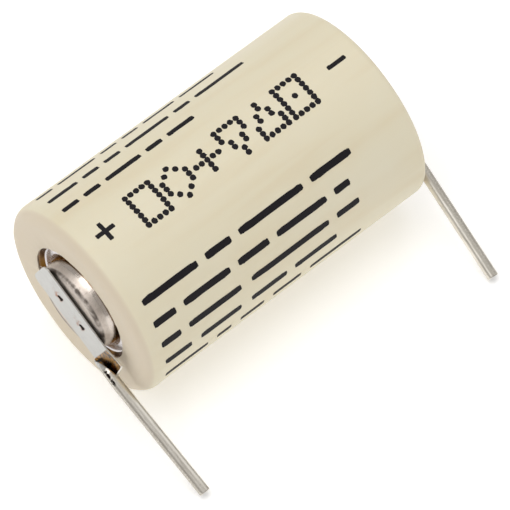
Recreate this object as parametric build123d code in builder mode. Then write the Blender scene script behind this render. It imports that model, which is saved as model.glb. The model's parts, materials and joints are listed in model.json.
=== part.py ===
"""Cylindrical lithium battery cell, half-AA size, with a solder pin welded to each end.

The cell's axis lies along X, with its positive end at -X. It rests on its sleeve, and its two
pins reach out towards -Y and down to the same surface. Lengths are in millimetres, and a
height is a distance outwards from the middle of the cell towards one of its ends.
"""

from build123d import *
from math import asin, atan2, cos, degrees, hypot, radians, sin, sqrt
import os

# ---------------------------------------------------------------- driving dimensions
CELL_DIAMETER = 14.5
SLEEVE_LENGTH = 24.0
SLEEVE_WALL = 0.12
CAN_WALL = 0.3
SLIP = 0.01  # room between pieces that slide together

# Positive end of the can
FACE_DISH = 0.13
SHOULDER_RADIUS = 0.88
FACE_FLAT = 0.1  # between the shoulder and the dish
FACE_INNER_RADIUS = 4.35
GROOVE_HEIGHT = 11.28
GROOVE_RADIUS = 4.15
GROOVE_BEND = 0.12
BOSS_HEIGHT = 12.6
BOSS_RADIUS = 3.0
BOSS_FOOT_RADIUS = 3.06
BOSS_EDGE = 0.4

# Negative end
MOUTH_HEIGHT = 11.7
LID_THICKNESS = 0.4
WELD_LEG = 0.1
RIM_CHAMFER = 0.18
NEGATIVE_SHOULDER = 0.47
NEGATIVE_OPENING = 4.8
FIBRE_WASHER_THICKNESS = 0.18
FIBRE_WASHER_RADII = (2.8, 6.3)

# Rivet and gasket through the lid: flanges and heads are (radius, thickness)
SHANK_RADIUS = 1.0
LID_HOLE_RADIUS = 1.6
GASKET_OUTER_FLANGE = (2.75, 0.25)
GASKET_INNER_FLANGE = (2.6, 0.35)
RIVET_HEAD = (2.4, 0.55)
RIVET_HEAD_EDGE = 0.3
RIVET_WASHER = (2.3, 0.3)
RIVET_UPSET = (1.45, 0.4)

# Electrodes
RING_COUNT = 3
STACK_TOP = 8.2
RING_INNER_RADIUS = 4.7
RING_CHAMFER = 0.35
SEPARATOR_WALL = 0.15
DISC_THICKNESS = 0.2
LITHIUM_INNER_RADIUS = 3.45
LITHIUM_TOP = 7.9
LITHIUM_SEAM = 7.0  # degrees left open where the rolled sheet's edges meet
COLLECTOR_WALL = 0.1
COLLECTOR_BOTTOM = -6.0
COLLECTOR_OPENING = 60.0
LEAD_SECTION = (1.6, 0.1)  # width, thickness
LEAD_RADIUS = 3.11
LEAD_BOTTOM = 4.0
LEAD_BEND = 0.6
TOP_INSULATOR_THICKNESS = 0.4
LEAD_SLOT_ROOM = 0.1  # on each side of the lead

# Tab and rolled pin, one stamping for each end
SHEET = 0.12
TAB_WIDTH = 3.1
TAB_BACK = 3.3
TAB_CORNER = 0.5
FUNNEL_START = 3.45
FUNNEL_END = 5.9
ROUND_START = 7.5  # from here on the pin is truly round, ready for a hole
PIN_DIAMETER = 0.8
PIN_TIP = 14.68
PIN_TIP_CHAMFER = 0.05
NEAR_ROLL = 125.0  # degrees of the closed pin's wall on the side that closes last
FAR_ROLL = 229.0
CLOSING_RADIUS = 0.345  # where the roll has only just met itself
CLOSING_NEAR_ROLL = 122.0
CLOSING_FAR_ROLL = 223.0
ROLL_TIGHTENING = 0.002  # the far wing closes a little tighter than the near one
POSITIVE_LEAN = 2.6  # degrees that each pin leans in over the cell
NEGATIVE_LEAN = 3.7
NEGATIVE_TAB_SLIDE = 0.16

# Spot welds that hold each tab on its terminal
WELD_GAP = 0.05
WELD_RADIUS = 0.4
WELD_PLACES = ((-1.22, 0.2), (1.13, 0.2))
DIMPLE_RADIUS = 1.6
DIMPLE_DEPTH = 0.06

# ---------------------------------------------------------------- worked out from them
BODY_RADIUS = CELL_DIAMETER / 2
CAN_RADIUS = BODY_RADIUS - SLEEVE_WALL - SLIP
BORE_RADIUS = CAN_RADIUS - CAN_WALL
FACE_HEIGHT = SLEEVE_LENGTH / 2 - SLEEVE_WALL - SLIP
FACE_LOW = FACE_HEIGHT - FACE_DISH
FACE_TURN = CAN_RADIUS - SHOULDER_RADIUS - FACE_FLAT  # where the face starts to dish inwards
LID_RADIUS = BORE_RADIUS - SLIP
LID_BOTTOM = MOUTH_HEIGHT - LID_THICKNESS
RIVET_SEAT = MOUTH_HEIGHT + GASKET_OUTER_FLANGE[1]
NEGATIVE_HEIGHT = RIVET_SEAT + RIVET_HEAD[1]
GASKET_BOTTOM = LID_BOTTOM - GASKET_INNER_FLANGE[1]
WASHER_BOTTOM = GASKET_BOTTOM - RIVET_WASHER[1]
RIVET_BOTTOM = WASHER_BOTTOM - RIVET_UPSET[1]
CAN_FLOOR = -(GROOVE_HEIGHT - CAN_WALL)
LITHIUM_BOTTOM = CAN_FLOOR + 2 * DISC_THICKNESS
LITHIUM_RADIUS = RING_INNER_RADIUS - SEPARATOR_WALL - 3 * SLIP
PIN_RADIUS = PIN_DIAMETER / 2
NEAR_RADIUS = PIN_RADIUS - SHEET / 2
FAR_RADIUS = NEAR_RADIUS - ROLL_TIGHTENING
SHOULDER_CENTRE = (FACE_HEIGHT - SHOULDER_RADIUS, CAN_RADIUS - SHOULDER_RADIUS)
STACK_BOTTOM = -(FACE_LOW - CAN_WALL - SLIP)
POSITIVE = -1
NEGATIVE = 1
TURN_STEPS = 3  # flats that make up a rounded turn, few enough to keep the model light

# The pins drop to the surface that the sleeve lies on, at the tip that reaches further.
TIP_REACH = PIN_TIP + NEGATIVE_TAB_SLIDE
PIN_DROP = asin(BODY_RADIUS / hypot(TIP_REACH, PIN_RADIUS)) - atan2(PIN_RADIUS, TIP_REACH)
PIN_DIRECTION = Vector(0, -cos(PIN_DROP), -sin(PIN_DROP))

os.makedirs("parts", exist_ok=True)


def write_piece(piece, label):
    """Label a finished piece and write it to a file of its own."""
    piece.label = label
    export_step(piece, f"parts/{label}.step")


def on_side(side, corners):
    """Points in the XY plane for (height, radius) corners at one end of the cell."""
    return [(side * height, radius) for height, radius in corners]


def rounded(centre, radius, start, end):
    """Points of a turn about a (height, radius) centre, from the start to the end angle in degrees.

    Angle 0 looks outwards along the cell's axis and 90 away from it.
    """
    angles = [radians(start + (end - start) * step / TURN_STEPS) for step in range(TURN_STEPS + 1)]
    return [(centre[0] + radius * cos(angle), centre[1] + radius * sin(angle)) for angle in angles]


# ---------------------------------------------------------------- can, sleeve and lid
# Deep-drawn can: a dished face, a groove and a boss in the middle, all of one wall.
can_outside = [
    (-MOUTH_HEIGHT, CAN_RADIUS - RIM_CHAMFER),
    (-MOUTH_HEIGHT + RIM_CHAMFER, CAN_RADIUS),
    *rounded(SHOULDER_CENTRE, SHOULDER_RADIUS, 90, 0),
    (FACE_HEIGHT, FACE_TURN),
    (FACE_LOW, FACE_INNER_RADIUS),
    (GROOVE_HEIGHT + GROOVE_BEND, GROOVE_RADIUS),
    (GROOVE_HEIGHT, GROOVE_RADIUS - GROOVE_BEND),
    (GROOVE_HEIGHT, BOSS_FOOT_RADIUS + GROOVE_BEND),
    (GROOVE_HEIGHT + GROOVE_BEND, BOSS_FOOT_RADIUS),
    *rounded((BOSS_HEIGHT - BOSS_EDGE, BOSS_RADIUS - BOSS_EDGE), BOSS_EDGE, 90, 0),
    (BOSS_HEIGHT, 0),
]
shoulder_slope = (SHOULDER_RADIUS - CAN_WALL) * (2 - sqrt(2))
can_inside = [
    (BOSS_HEIGHT - CAN_WALL, 0),
    (BOSS_HEIGHT - CAN_WALL, BOSS_RADIUS - CAN_WALL),
    (GROOVE_HEIGHT - CAN_WALL, BOSS_FOOT_RADIUS - CAN_WALL),
    (GROOVE_HEIGHT - CAN_WALL, GROOVE_RADIUS + CAN_WALL),
    (FACE_LOW - CAN_WALL, FACE_INNER_RADIUS + CAN_WALL),
    (FACE_HEIGHT - CAN_WALL, BORE_RADIUS - shoulder_slope),
    (FACE_HEIGHT - CAN_WALL - shoulder_slope, BORE_RADIUS),
    (-MOUTH_HEIGHT + WELD_LEG, BORE_RADIUS),
    (-MOUTH_HEIGHT, BORE_RADIUS + WELD_LEG),
]
with BuildPart() as cell_can:
    with BuildSketch(Plane.XY):
        with BuildLine():
            Polyline(*on_side(POSITIVE, can_outside + can_inside), close=True)
        make_face()
    revolve(axis=Axis.X)
write_piece(cell_can.part, "cell_can")

# Heat-shrunk sleeve: hugs the can and folds in over both ends.
sleeve_end = SLEEVE_LENGTH / 2
sleeve_inside = sleeve_end - SLEEVE_WALL
fold_centre = (-(sleeve_end - NEGATIVE_SHOULDER), BODY_RADIUS - NEGATIVE_SHOULDER)
sleeve_corners = [
    *rounded(fold_centre, NEGATIVE_SHOULDER, 180, 90),
    *rounded(SHOULDER_CENTRE, SHOULDER_RADIUS + SLIP + SLEEVE_WALL, 90, 0),
    (sleeve_end, FACE_TURN),
    (sleeve_end - FACE_DISH, FACE_INNER_RADIUS),
    (sleeve_inside - FACE_DISH, FACE_INNER_RADIUS),
    (sleeve_inside, FACE_TURN),
    *rounded(SHOULDER_CENTRE, SHOULDER_RADIUS + SLIP, 0, 90),
    *rounded(fold_centre, NEGATIVE_SHOULDER - SLEEVE_WALL, 90, 180),
    (-sleeve_inside, NEGATIVE_OPENING),
    (-sleeve_end, NEGATIVE_OPENING),
]
with BuildPart() as shrink_sleeve:
    with BuildSketch(Plane.XY):
        with BuildLine():
            Polyline(*on_side(POSITIVE, sleeve_corners), close=True)
        make_face()
    revolve(axis=Axis.X)
write_piece(shrink_sleeve.part, "shrink_sleeve")

# Lid: a disc in the can's mouth, chamfered for the weld and pierced for the rivet.
with BuildPart() as lid_plate:
    with BuildSketch(Plane.YZ.offset(LID_BOTTOM)):
        Circle(LID_RADIUS)
        Circle(LID_HOLE_RADIUS, mode=Mode.SUBTRACT)
    extrude(amount=LID_THICKNESS)
    chamfer(lid_plate.faces().sort_by(Axis.X)[-1].edges().sort_by(SortBy.LENGTH)[-1], WELD_LEG)
write_piece(lid_plate.part, "lid_plate")

# Weld bead: fills the V between the lid and the can's mouth, with a low crown.
with BuildPart() as lid_weld_bead:
    with BuildSketch(Plane.XY):
        with BuildLine():
            v_centre = LID_RADIUS + SLIP / 2
            crown = (MOUTH_HEIGHT + WELD_LEG / 3, v_centre)
            v_foot = (MOUTH_HEIGHT - WELD_LEG, v_centre)
            v_corners = [(MOUTH_HEIGHT, v_centre - WELD_LEG), crown, (MOUTH_HEIGHT, v_centre + WELD_LEG)]
            Polyline(v_foot, *v_corners, close=True)
        make_face()
    revolve(axis=Axis.X)
write_piece(lid_weld_bead.part, "lid_weld_bead")

# ---------------------------------------------------------------- insulated terminal
# Gasket: a bush with a flange on each side of the lid.
gasket_corners = [
    (RIVET_SEAT, SHANK_RADIUS + SLIP),
    (RIVET_SEAT, GASKET_OUTER_FLANGE[0]),
    (MOUTH_HEIGHT, GASKET_OUTER_FLANGE[0]),
    (MOUTH_HEIGHT, LID_HOLE_RADIUS - SLIP),
    (LID_BOTTOM, LID_HOLE_RADIUS - SLIP),
    (LID_BOTTOM, GASKET_INNER_FLANGE[0]),
    (GASKET_BOTTOM, GASKET_INNER_FLANGE[0]),
    (GASKET_BOTTOM, SHANK_RADIUS + SLIP),
]
with BuildPart() as terminal_gasket:
    with BuildSketch(Plane.XY):
        with BuildLine():
            Polyline(*on_side(NEGATIVE, gasket_corners), close=True)
        make_face()
    revolve(axis=Axis.X)
write_piece(terminal_gasket.part, "terminal_gasket")

# Rivet: the negative terminal's flat head, its shank and the end upset inside.
head_turn = (NEGATIVE_HEIGHT - RIVET_HEAD_EDGE, RIVET_HEAD[0] - RIVET_HEAD_EDGE)
rivet_corners = [
    (NEGATIVE_HEIGHT, 0),
    *rounded(head_turn, RIVET_HEAD_EDGE, 0, 90),
    (RIVET_SEAT, RIVET_HEAD[0]),
    (RIVET_SEAT, SHANK_RADIUS),
    (WASHER_BOTTOM, SHANK_RADIUS),
    (WASHER_BOTTOM, RIVET_UPSET[0]),
    (RIVET_BOTTOM, RIVET_UPSET[0]),
    (RIVET_BOTTOM, 0),
]
with BuildPart() as terminal_rivet:
    with BuildSketch(Plane.XY):
        with BuildLine():
            Polyline(*on_side(NEGATIVE, rivet_corners), close=True)
        make_face()
    revolve(axis=Axis.X)
write_piece(terminal_rivet.part, "terminal_rivet")

with BuildPart() as rivet_washer:
    with BuildSketch(Plane.YZ.offset(WASHER_BOTTOM)):
        Circle(RIVET_WASHER[0])
        Circle(SHANK_RADIUS + SLIP, mode=Mode.SUBTRACT)
    extrude(amount=RIVET_WASHER[1])
write_piece(rivet_washer.part, "rivet_washer")

# Fibre washer: keeps the tab clear of the lid, held down by the sleeve's fold.
with BuildPart() as fibre_washer:
    with BuildSketch(Plane.YZ.offset(MOUTH_HEIGHT)):
        Circle(FIBRE_WASHER_RADII[1])
        Circle(FIBRE_WASHER_RADII[0], mode=Mode.SUBTRACT)
    extrude(amount=FIBRE_WASHER_THICKNESS)
write_piece(fibre_washer.part, "fibre_washer")

# ---------------------------------------------------------------- electrodes
# Pressed cathode rings, stacked in the can on the inside of its face.
ring_height = (STACK_TOP - STACK_BOTTOM) / RING_COUNT
for number in range(RING_COUNT):
    with BuildPart() as cathode_ring:
        with BuildSketch(Plane.YZ.offset(STACK_BOTTOM + number * ring_height)):
            Circle(BORE_RADIUS - SLIP)
            Circle(RING_INNER_RADIUS, mode=Mode.SUBTRACT)
        extrude(amount=ring_height)
        chamfer(cathode_ring.faces().sort_by(Axis.X)[0].edges().sort_by(SortBy.LENGTH)[-1], RING_CHAMFER)
    write_piece(cathode_ring.part, f"cathode_ring_{number + 1}")

# Separator: a tube lining the rings, closed at the foot by a disc.
separator_radius = RING_INNER_RADIUS - SLIP
with BuildPart() as separator_tube:
    with BuildSketch(Plane.YZ.offset(CAN_FLOOR)):
        Circle(separator_radius)
        Circle(separator_radius - SEPARATOR_WALL, mode=Mode.SUBTRACT)
    extrude(amount=STACK_TOP - CAN_FLOOR)
write_piece(separator_tube.part, "separator_tube")

for label, bottom in (("floor_insulator", CAN_FLOOR), ("separator_disc", CAN_FLOOR + DISC_THICKNESS)):
    with BuildPart() as foot_disc:
        with BuildSketch(Plane.YZ.offset(bottom)):
            Circle(LITHIUM_RADIUS)
        extrude(amount=DISC_THICKNESS)
    write_piece(foot_disc.part, label)


def rolled_sheet(bottom, top, outer, inner, opening):
    """Sheet rolled into an open tube about the cell's axis, with its seam towards -Y."""
    with BuildPart() as roll:
        with BuildSketch(Plane.XY):
            with Locations(((bottom + top) / 2, (outer + inner) / 2)):
                Rectangle(top - bottom, outer - inner)
        revolve(axis=Axis.X, revolution_arc=360 - opening)
    return roll.part.rotate(Axis.X, 180 + opening / 2)


lithium_anode = rolled_sheet(
    LITHIUM_BOTTOM, LITHIUM_TOP, LITHIUM_RADIUS, LITHIUM_INNER_RADIUS, LITHIUM_SEAM
)
write_piece(lithium_anode, "lithium_anode")

collector_radius = LITHIUM_INNER_RADIUS - SLIP
anode_collector = rolled_sheet(
    COLLECTOR_BOTTOM, LITHIUM_TOP, collector_radius, collector_radius - COLLECTOR_WALL, COLLECTOR_OPENING
)
write_piece(anode_collector, "anode_collector")

# Lead: a strip up from the collector, bent over under the rivet.
lead_width, lead_thickness = LEAD_SECTION
lead_under = RIVET_BOTTOM - lead_thickness
lead_corners = [
    (LEAD_BOTTOM, LEAD_RADIUS),
    (LEAD_BOTTOM, LEAD_RADIUS + lead_thickness),
    (RIVET_BOTTOM, LEAD_RADIUS + lead_thickness),
    (RIVET_BOTTOM, -SHANK_RADIUS),
    (lead_under, -SHANK_RADIUS),
    (lead_under, LEAD_RADIUS),
]
with BuildPart() as anode_lead:
    with BuildSketch(Plane.XY):
        with BuildLine():
            lead_bends = [0, 0, LEAD_BEND, 0, 0, LEAD_BEND - lead_thickness]
            FilletPolyline(*on_side(NEGATIVE, lead_corners), radius=lead_bends, close=True)
        make_face()
    extrude(amount=lead_width / 2, both=True)
write_piece(anode_lead.part, "anode_lead")

# Top insulator: covers the electrodes, with a slot for the lead.
slot_depth = lead_thickness + 2 * LEAD_SLOT_ROOM
with BuildPart() as top_insulator:
    with BuildSketch(Plane.YZ.offset(STACK_TOP)):
        Circle(BORE_RADIUS - SLIP)
        Circle(SHANK_RADIUS, mode=Mode.SUBTRACT)
        with Locations((LEAD_RADIUS + lead_thickness / 2, 0)):
            Rectangle(slot_depth, lead_width + 2 * LEAD_SLOT_ROOM, mode=Mode.SUBTRACT)
    extrude(amount=TOP_INSULATOR_THICKNESS)
write_piece(top_insulator.part, "top_insulator")


# ---------------------------------------------------------------- tabs with rolled pins
def wing(radius, roll, side):
    """Outer and inner arcs and the cut edge of one wing of the rolled sheet.

    The wing curls up from the middle of the sheet's underside, at (0, 0), through an angle of
    roll degrees about a point above it. side is 1 for the near wing and -1 for the far one.
    """
    centre = SHEET / 2 + radius
    outer, inner = radius + SHEET / 2, radius - SHEET / 2

    def at(reach, angle):
        turn = radians(angle)
        return (side * reach * sin(turn), centre - reach * cos(turn))

    ThreePointArc((0, 0), at(outer, roll / 2), at(outer, roll))
    Line(at(outer, roll), at(inner, roll))
    ThreePointArc(at(inner, roll), at(inner, roll / 2), (0, SHEET))


def wing_roll(width, radius):
    """Angle in degrees that a wing of this width covers at this bending radius."""
    return degrees(width / radius)


# Distance along the stamping, then bending radius and width of its near and far wings
FUNNEL_STATIONS = (
    (FUNNEL_START, (60.0, 1.55), (61.0, 1.55)),
    (4.0, (9.0, 1.53), (0.95, 1.53)),
    (4.6, (4.5, 1.47), (0.6, 1.46)),
    (5.1, (1.6, 1.2), (0.45, 1.4)),
    (5.45, (0.6, 0.9), (0.37, 1.37)),
)


def tab_with_pin(side, seat_height, lean, slide):
    """One stamping: a flat tab, a funnel where its wings curl in, and the pin rolled from it."""
    outwards = Vector(side, 0, 0)
    start = outwards * seat_height + PIN_DIRECTION * slide
    across = outwards.cross(PIN_DIRECTION)
    flat = Plane(origin=start, x_dir=PIN_DIRECTION, z_dir=outwards)
    pin_way = PIN_DIRECTION * cos(radians(lean)) - outwards * sin(radians(lean))
    closed_start = Plane(origin=start + PIN_DIRECTION * FUNNEL_END, x_dir=across, z_dir=pin_way)
    round_start = closed_start.offset((ROUND_START - FUNNEL_END) / cos(radians(lean)))
    round_length = (PIN_TIP - ROUND_START) / cos(radians(lean))

    with BuildPart() as stamping:
        with BuildSketch(flat):
            with Locations(((FUNNEL_START - TAB_BACK) / 2, 0)):
                Rectangle(FUNNEL_START + TAB_BACK, TAB_WIDTH)
        extrude(amount=SHEET)
        free_corners = stamping.edges().filter_by(Axis.X).sort_by(Axis(start, PIN_DIRECTION))[:2]
        fillet(free_corners, TAB_CORNER)
        with Locations(flat):
            with Locations([(x, y, SHEET + DIMPLE_RADIUS - DIMPLE_DEPTH) for x, y in WELD_PLACES]):
                Sphere(DIMPLE_RADIUS, mode=Mode.SUBTRACT)

        for distance, near, far in FUNNEL_STATIONS:
            station = start + PIN_DIRECTION * distance
            with BuildSketch(Plane(origin=station, x_dir=across, z_dir=PIN_DIRECTION)):
                with BuildLine():
                    wing(near[0], wing_roll(near[1], near[0]), 1)
                    wing(far[0], wing_roll(far[1], far[0]), -1)
                make_face()
        with BuildSketch(closed_start) as closed_section:
            with BuildLine():
                wing(CLOSING_RADIUS, CLOSING_NEAR_ROLL, 1)
                wing(CLOSING_RADIUS - ROLL_TIGHTENING, CLOSING_FAR_ROLL, -1)
            make_face()
        loft()
        with BuildSketch(round_start) as round_section:
            with BuildLine():
                wing(NEAR_RADIUS, NEAR_ROLL, 1)
                wing(FAR_RADIUS, FAR_ROLL, -1)
            make_face()
        loft([closed_section.sketch, round_section.sketch], ruled=True)
        extrude(amount=round_length)
        tip_face = stamping.faces().sort_by(Axis(start, pin_way))[-1]
        chamfer(tip_face.edges().filter_by(GeomType.CIRCLE).sort_by(SortBy.RADIUS)[-2:], PIN_TIP_CHAMFER)
    return stamping.part


def tab_welds(side, terminal_height, slide):
    """Two weld nuggets between a tab and the terminal under it."""
    outwards = Vector(side, 0, 0)
    start = outwards * terminal_height + PIN_DIRECTION * slide
    with BuildPart() as nuggets:
        with BuildSketch(Plane(origin=start, x_dir=PIN_DIRECTION, z_dir=outwards)):
            with Locations(*WELD_PLACES):
                Circle(WELD_RADIUS)
        extrude(amount=WELD_GAP)
    return nuggets.part


tab_seats = (
    ("positive", POSITIVE, BOSS_HEIGHT, POSITIVE_LEAN, 0),
    ("negative", NEGATIVE, NEGATIVE_HEIGHT, NEGATIVE_LEAN, NEGATIVE_TAB_SLIDE),
)
for label, side, terminal_height, lean, slide in tab_seats:
    write_piece(tab_with_pin(side, terminal_height + WELD_GAP, lean, slide), f"{label}_tab")
    write_piece(tab_welds(side, terminal_height, slide), f"{label}_tab_welds")
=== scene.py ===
"""Dresses the half-AA lithium cell: shrink sleeve, drawn can, rolled solder pins and ink marks.

The cell's axis lies along X with its positive end at -X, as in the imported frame. Shapes are
worked out in millimetres and put into the meshes in metres. A height is a distance outwards
from the middle of the cell along its axis.
"""

import json
import logging
import math
from dataclasses import dataclass
from enum import Enum
from typing import Any, Mapping, Sequence

import bmesh
import bpy
import numpy as np
from mathutils import Matrix, Vector


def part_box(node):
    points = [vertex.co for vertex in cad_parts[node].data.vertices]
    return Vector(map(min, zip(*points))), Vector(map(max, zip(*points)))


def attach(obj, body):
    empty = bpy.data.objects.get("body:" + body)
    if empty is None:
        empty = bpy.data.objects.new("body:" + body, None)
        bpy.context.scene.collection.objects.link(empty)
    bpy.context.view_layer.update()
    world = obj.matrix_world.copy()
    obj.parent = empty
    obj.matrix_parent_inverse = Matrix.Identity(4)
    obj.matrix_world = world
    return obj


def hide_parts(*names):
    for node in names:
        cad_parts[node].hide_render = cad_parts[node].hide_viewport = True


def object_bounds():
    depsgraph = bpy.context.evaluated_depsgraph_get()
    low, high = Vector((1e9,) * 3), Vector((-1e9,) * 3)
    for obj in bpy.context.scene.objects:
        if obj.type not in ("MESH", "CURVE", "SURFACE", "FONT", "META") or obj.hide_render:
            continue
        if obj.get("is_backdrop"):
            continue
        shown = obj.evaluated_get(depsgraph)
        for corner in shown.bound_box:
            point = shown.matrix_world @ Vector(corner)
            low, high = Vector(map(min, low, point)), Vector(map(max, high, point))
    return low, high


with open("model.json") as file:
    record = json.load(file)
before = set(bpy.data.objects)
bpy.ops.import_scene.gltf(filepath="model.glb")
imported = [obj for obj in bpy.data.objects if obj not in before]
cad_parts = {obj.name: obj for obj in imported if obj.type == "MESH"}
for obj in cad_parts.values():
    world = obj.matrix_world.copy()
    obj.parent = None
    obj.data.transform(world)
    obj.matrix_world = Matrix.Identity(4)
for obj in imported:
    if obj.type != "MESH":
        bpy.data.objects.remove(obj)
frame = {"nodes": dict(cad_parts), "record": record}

LOG = logging.getLogger("cell")
MM = 0.001
BODY = "root"
MERGE = 1e-8  # metres between points that are one
SLIVER = 1e-9  # metres below which an edge is dissolved
ARC_RUNS = 10  # fewest straight runs in a rounded corner
Array = np.ndarray
Colour = tuple[float, float, float]
Corner = tuple[float, float, float]
Socket = bpy.types.NodeSocket
Material = bpy.types.Material
Object = bpy.types.Object
EVEN = (1.0, 1.0, 1.0)


# ---------------- shader maths
class Wire:
    """A number on a socket. Arithmetic on it adds Math nodes."""

    def __init__(self, board: "Board", socket: Socket) -> None:
        """Keeps the board that the socket's node is on."""
        self.board = board
        self.socket = socket

    def _math(self, operation: str, *values: "Wire | float") -> "Wire":
        """Adds one Math node.

        Args:
            operation: the node's operation.
            values: its operands, in order.

        Returns:
            The node's result.
        """
        node = self.board.node("ShaderNodeMath", {"operation": operation}, dict(enumerate(values)))
        return Wire(self.board, node.outputs[0])

    def __add__(self, other: "Wire | float") -> "Wire":
        """Sum."""
        return self._math("ADD", self, other)

    __radd__ = __add__

    def __mul__(self, other: "Wire | float") -> "Wire":
        """Product."""
        return self._math("MULTIPLY", self, other)

    __rmul__ = __mul__

    def __sub__(self, other: "Wire | float") -> "Wire":
        """Difference."""
        return self._math("SUBTRACT", self, other)

    def __rsub__(self, other: float) -> "Wire":
        """Difference from a number."""
        return self._math("SUBTRACT", other, self)

    def __abs__(self) -> "Wire":
        """Size without its sign."""
        return self._math("ABSOLUTE", self)

    def step(self, low: float, high: float) -> "Wire":
        """A smooth rise between two values.

        Args:
            low: where it leaves 0.
            high: where it reaches 1, which may be the lower of the two.

        Returns:
            The smoothstep of the wire's share of the way from low to high.
        """
        settings = {"interpolation_type": "SMOOTHSTEP"}
        ends = {"Value": self, "From Min": min(low, high), "From Max": max(low, high)}
        rise = Wire(self.board, self.board.node("ShaderNodeMapRange", settings, ends).outputs[0])
        return rise if high > low else 1.0 - rise


class Board:
    """The node tree of one material."""

    def __init__(self, name: str) -> None:
        """Makes an empty material with an output.

        Args:
            name: the material's name.
        """
        self.material = bpy.data.materials.new(name)
        self.material.use_nodes = True
        self.tree = self.material.node_tree
        self.tree.nodes.clear()
        self.output = self.tree.nodes.new("ShaderNodeOutputMaterial")

    def node(
        self, kind: str, settings: Mapping[str, Any], inputs: Mapping[Any, Any]
    ) -> bpy.types.Node:
        """Adds a node of any type.

        Args:
            kind: the node's type.
            settings: its properties, set first.
            inputs: values, wires or sockets for its inputs, by name or number.

        Returns:
            The node.
        """
        node = self.tree.nodes.new(kind)
        for key, value in settings.items():
            setattr(node, key, value)
        for key, value in inputs.items():
            value = value.socket if isinstance(value, Wire) else value
            if isinstance(value, Socket):
                self.tree.links.new(value, node.inputs[key])
            else:
                node.inputs[key].default_value = value
        return node

    def wire(self, node: bpy.types.Node, output: str | int = 0) -> Wire:
        """A node's output as a number."""
        return Wire(self, node.outputs[output])

    def place(self, stretch: Sequence[float] = EVEN) -> Socket:
        """Object coordinates in millimetres.

        Args:
            stretch: what each axis is multiplied by.

        Returns:
            The vector's socket.
        """
        coordinates = self.node("ShaderNodeTexCoord", {}, {})
        scale = tuple(factor / MM for factor in stretch)
        inputs = {0: coordinates.outputs["Object"], 1: scale}
        return self.node("ShaderNodeVectorMath", {"operation": "MULTIPLY"}, inputs).outputs[0]

    def axis(self, index: int) -> Wire:
        """One Object coordinate in millimetres."""
        split = self.node("ShaderNodeSeparateXYZ", {}, {0: self.place()})
        return self.wire(split, index)

    def ring(self) -> Wire:
        """Distance from the cell's axis: the length of (0, y, z).

        Returns:
            The distance in millimetres.
        """
        inputs = {0: self.place((0.0, 1.0, 1.0))}
        node = self.node("ShaderNodeVectorMath", {"operation": "LENGTH"}, inputs)
        return self.wire(node, "Value")

    def attribute(self, name: str) -> Wire:
        """A number stored at the mesh's points."""
        return self.wire(self.node("ShaderNodeAttribute", {"attribute_name": name}, {}), "Fac")

    def noise(
        self,
        scale: float,
        detail: float = 2.0,
        stretch: Sequence[float] = EVEN,
        distortion: float = 0.0,
    ) -> Wire:
        """Smooth noise about 0.5.

        Args:
            scale: cycles per millimetre.
            detail: how many finer octaves it has.
            stretch: what each axis is multiplied by, less than 1 drawing it out.
            distortion: how far it is swirled.

        Returns:
            The noise.
        """
        inputs = {
            "Vector": self.place(stretch),
            "Scale": scale,
            "Detail": detail,
            "Distortion": distortion,
        }
        return self.wire(self.node("ShaderNodeTexNoise", {}, inputs))

    def hairlines(self, noise: Wire, width: float) -> Wire:
        """Thin curved lines: 1 where a noise crosses 0.5, falling to 0 at a width either side."""
        return abs(noise - 0.5).step(width, 0.0)

    def blend(self, amount: Wire, first: Any, second: Any) -> Socket:
        """A colour between two: first at 0, second at 1."""
        inputs = {0: amount, 6: self.rgba(first), 7: self.rgba(second)}
        return self.node("ShaderNodeMix", {"data_type": "RGBA"}, inputs).outputs[2]

    def layers(self, base: Any, *coats: tuple[Wire, Colour]) -> Socket:
        """A colour with others laid over it.

        Args:
            base: the colour below.
            coats: how much each further colour covers and the colour, from the lowest up.

        Returns:
            The colour's socket.
        """
        for amount, colour in coats:
            base = self.blend(amount, base, colour)
        return base

    @staticmethod
    def rgba(colour: Any) -> Any:
        """A plain colour with its alpha, or a socket as it is."""
        return (*colour, 1.0) if isinstance(colour, tuple) else colour

    def bump(self, height: Wire, strength: float, depth: float) -> Socket:
        """A normal from a height that varies between 0 and 1; depth is in millimetres."""
        inputs = {"Height": height, "Strength": strength, "Distance": depth * MM}
        return self.node("ShaderNodeBump", {}, inputs).outputs[0]

    def principled(self, inputs: Mapping[str, Any]) -> Material:
        """Ends the tree in one Principled shader.

        Args:
            inputs: values, wires or sockets for its inputs, by name.

        Returns:
            The material.
        """
        shader = self.node("ShaderNodeBsdfPrincipled", {}, inputs)
        self.tree.links.new(shader.outputs[0], self.output.inputs[0])
        return self.material


# ---------------- finishes
class Slot(Enum):
    """The record's material slots."""

    SLEEVE = "sleeve_film"
    CAN = "can_nickel"
    STRIP = "tinned_strip"
    WELD = "weld_steel"
    LID = "lid_steel"
    GASKET = "gasket_polymer"
    FIBRE = "fibre_board"
    CATHODE = "cathode_mix"
    SEPARATOR = "separator_cloth"
    LITHIUM = "lithium_metal"
    INSULATOR = "insulator_film"
    COLLECTOR = "collector_steel"
    INK = "print_ink"


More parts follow.
